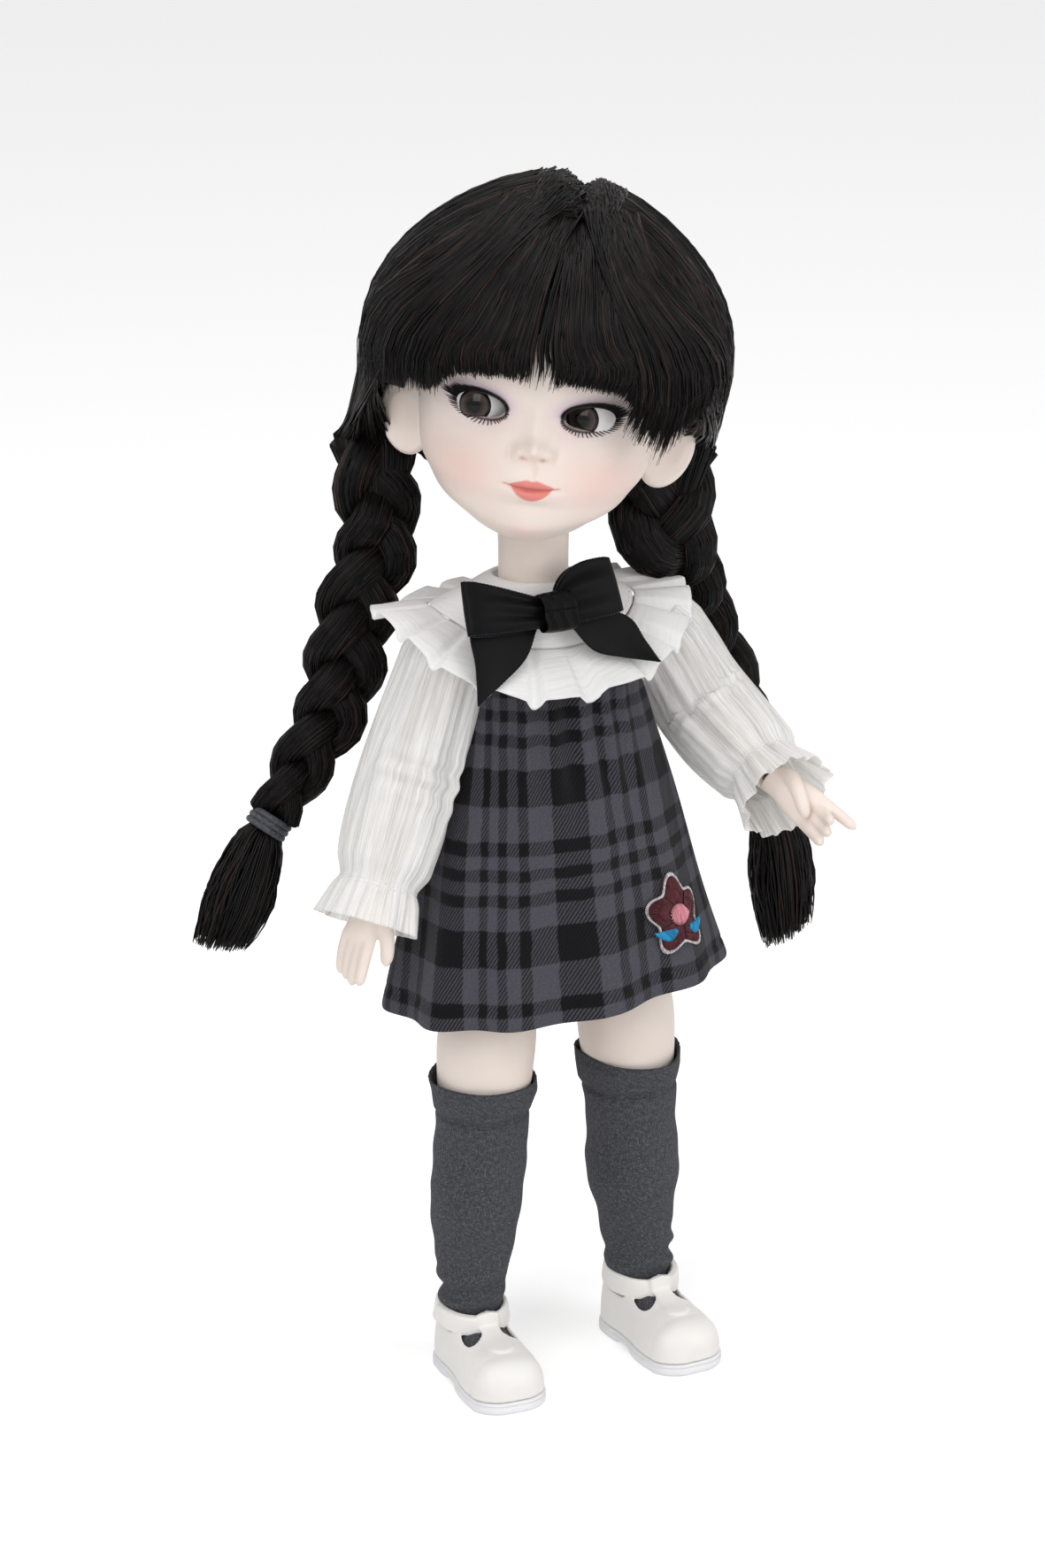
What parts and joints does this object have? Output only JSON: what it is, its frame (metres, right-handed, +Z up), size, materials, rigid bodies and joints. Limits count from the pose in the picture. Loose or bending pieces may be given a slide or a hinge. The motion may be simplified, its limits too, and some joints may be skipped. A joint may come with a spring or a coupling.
{
  "type": "gothic doll",
  "caption": "Jointed fashion doll with a large round head, inset eyes, a plaited wig, a pleated collar with a satin bow, sheer sleeves, a plaid pinafore, knitted socks and strap shoes.",
  "frame": {"origin": "on the floor under the middle of the doll as it stands", "axes": "+Z up along its height; it faces -Y and its right side is towards -X"},
  "size_m": [0.2068, 0.1042, 0.3659],
  "materials": {
    "vinyl_skin": "soft satin skin",
    "white_plastic": "plain moulded",
    "eye_white": "glossy",
    "iris_brown": "clear glossy dome",
    "lash_fibre": "black fibre",
    "hair_fibre": "glossy synthetic fibre",
    "cap_mesh": "stretch mesh",
    "satin_ribbon": "satin",
    "elastic_band": "matt",
    "blouse_cotton": "plain weave",
    "sheer_cloth": "crinkled, see-through",
    "plaid_cloth": "woven check",
    "fastening_tape": "hook and loop",
    "embroidery_thread": "satin stitch",
    "sock_knit": "heather knit",
    "shoe_vinyl": "smooth",
    "sole_vinyl": "smooth"
  },
  "bodies": {
    "torso": {"torso_front": "vinyl_skin", "torso_back": "vinyl_skin", "neck_column": "vinyl_skin", "dress_bodice": "plaid_cloth", "skirt_right": "plaid_cloth", "skirt_left": "plaid_cloth", "back_tape": "fastening_tape", "embroidered_patch": "embroidery_thread", "collar_yoke": "blouse_cotton", "collar_ruffle": "blouse_cotton", "bow_loops": "satin_ribbon", "bow_knot": "satin_ribbon", "bow_tails": "satin_ribbon"},
    "neck_knob": {"neck_knob": "white_plastic", "braid_right": "hair_fibre", "braid_left": "hair_fibre", "hair_band_right": "elastic_band", "hair_band_left": "elastic_band", "braid_tail_right": "hair_fibre", "braid_tail_left": "hair_fibre"},
    "head": {"head_shell": "vinyl_skin", "skull_cap": "vinyl_skin", "eyeball_right": "eye_white", "eyeball_left": "eye_white", "iris_right": "iris_brown", "iris_left": "iris_brown", "lashes_right": "lash_fibre", "lashes_left": "lash_fibre", "wig_cap": "cap_mesh", "hair_crown": "hair_fibre", "fringe": "hair_fibre"},
    "shoulder_disc_right": {"shoulder_disc_right": "white_plastic"},
    "upper_arm_right": {"upper_arm_right": "vinyl_skin", "elbow_pin_right": "white_plastic", "sleeve_right": "sheer_cloth"},
    "forearm_right": {"forearm_right": "vinyl_skin"},
    "hand_right": {"hand_right": "vinyl_skin"},
    "hip_disc_right": {"hip_disc_right": "white_plastic"},
    "thigh_right": {"thigh_right": "vinyl_skin", "knee_pin_right": "white_plastic"},
    "shin_right": {"shin_right": "vinyl_skin", "sock_right": "sock_knit", "shoe_upper_right": "shoe_vinyl", "shoe_sole_right": "sole_vinyl"},
    "shoulder_disc_left": {"shoulder_disc_left": "white_plastic"},
    "upper_arm_left": {"upper_arm_left": "vinyl_skin", "elbow_pin_left": "white_plastic", "sleeve_left": "sheer_cloth"},
    "forearm_left": {"forearm_left": "vinyl_skin"},
    "hand_left": {"hand_left": "vinyl_skin"},
    "hip_disc_left": {"hip_disc_left": "white_plastic"},
    "thigh_left": {"thigh_left": "vinyl_skin", "knee_pin_left": "white_plastic"},
    "shin_left": {"shin_left": "vinyl_skin", "sock_left": "sock_knit", "shoe_upper_left": "shoe_vinyl", "shoe_sole_left": "sole_vinyl"}
  },
  "joints": [
    {"name": "head_turn", "type": "hinge", "parent": "torso", "child": "neck_knob", "pos_m": [-0.00648, 0.00282, 0.241], "axis": [0, 0, 1], "range_deg": [-20, 65], "deforming": ["braid_right", "braid_left", "hair_band_right", "hair_band_left", "braid_tail_right", "braid_tail_left"]},
    {"name": "head_nod", "type": "hinge", "parent": "neck_knob", "child": "head", "pos_m": [-0.00648, 0.00282, 0.2683], "axis": [0.8616, -0.5075, 0], "range_deg": [-12, 12], "deforming": ["braid_right", "braid_left"]},
    {"name": "shoulder_swing_right", "type": "hinge", "parent": "torso", "child": "shoulder_disc_right", "pos_m": [-0.03171, 0.00282, 0.229], "axis": [-1, 0, 0], "range_deg": [-20, 100], "deforming": ["sleeve_right", "collar_ruffle", "bow_tails"]},
    {"name": "shoulder_raise_right", "type": "hinge", "parent": "shoulder_disc_right", "child": "upper_arm_right", "pos_m": [-0.03171, 0.00282, 0.229], "axis": [0, 1, 0], "range_deg": [-3, 60], "deforming": ["sleeve_right", "collar_ruffle"]},
    {"name": "elbow_right", "type": "hinge", "parent": "upper_arm_right", "child": "forearm_right", "pos_m": [-0.04525, 0.00386, 0.1962], "axis": [-0.9036, 0.1994, 0.3792], "range_deg": [-13, 70], "deforming": ["sleeve_right"]},
    {"name": "wrist_right", "type": "hinge", "parent": "forearm_right", "child": "hand_right", "pos_m": [-0.0616, -0.00504, 0.16193], "axis": [0.4192, 0.2284, 0.8787], "range_deg": [-90, 90]},
    {"name": "hip_flex_right", "type": "hinge", "parent": "torso", "child": "hip_disc_right", "pos_m": [-0.01981, 0.00282, 0.142], "axis": [-1, 0, 0], "range_deg": [-15, 85], "deforming": ["skirt_right"]},
    {"name": "hip_spread_right", "type": "hinge", "parent": "hip_disc_right", "child": "thigh_right", "pos_m": [-0.01981, 0.00282, 0.142], "axis": [0, 1, 0], "range_deg": [-3, 18], "deforming": ["skirt_right"]},
    {"name": "knee_right", "type": "hinge", "parent": "thigh_right", "child": "shin_right", "pos_m": [-0.02384, 0.00282, 0.078], "axis": [1, 0, 0], "range_deg": [0, 78], "deforming": ["sock_right"]},
    {"name": "shoulder_swing_left", "type": "hinge", "parent": "torso", "child": "shoulder_disc_left", "pos_m": [0.03229, 0.00282, 0.229], "axis": [-1, 0, 0], "range_deg": [-25, 100], "deforming": ["sleeve_left", "collar_ruffle", "bow_tails"]},
    {"name": "shoulder_raise_left", "type": "hinge", "parent": "shoulder_disc_left", "child": "upper_arm_left", "pos_m": [0.03229, 0.00282, 0.229], "axis": [0, -1, 0], "range_deg": [-3, 60], "deforming": ["sleeve_left", "collar_ruffle"]},
    {"name": "elbow_left", "type": "hinge", "parent": "upper_arm_left", "child": "forearm_left", "pos_m": [0.05299, 0.00848, 0.20072], "axis": [-0.8117, 0.1553, -0.5631], "range_deg": [-74, 8], "deforming": ["sleeve_left"]},
    {"name": "wrist_left", "type": "hinge", "parent": "forearm_left", "child": "hand_left", "pos_m": [0.05609, -0.02762, 0.18628], "axis": [-0.0797, 0.9255, 0.3702], "range_deg": [-90, 90]},
    {"name": "hip_flex_left", "type": "hinge", "parent": "torso", "child": "hip_disc_left", "pos_m": [0.02279, 0.00282, 0.142], "axis": [-1, 0, 0], "range_deg": [-15, 85], "deforming": ["skirt_left", "embroidered_patch"]},
    {"name": "hip_spread_left", "type": "hinge", "parent": "hip_disc_left", "child": "thigh_left", "pos_m": [0.02279, 0.00282, 0.142], "axis": [0, -1, 0], "range_deg": [-3, 18], "deforming": ["skirt_left", "embroidered_patch"]},
    {"name": "knee_left", "type": "hinge", "parent": "thigh_left", "child": "shin_left", "pos_m": [0.02681, 0.00282, 0.078], "axis": [1, 0, 0], "range_deg": [0, 78], "deforming": ["sock_left"]}
  ]
}
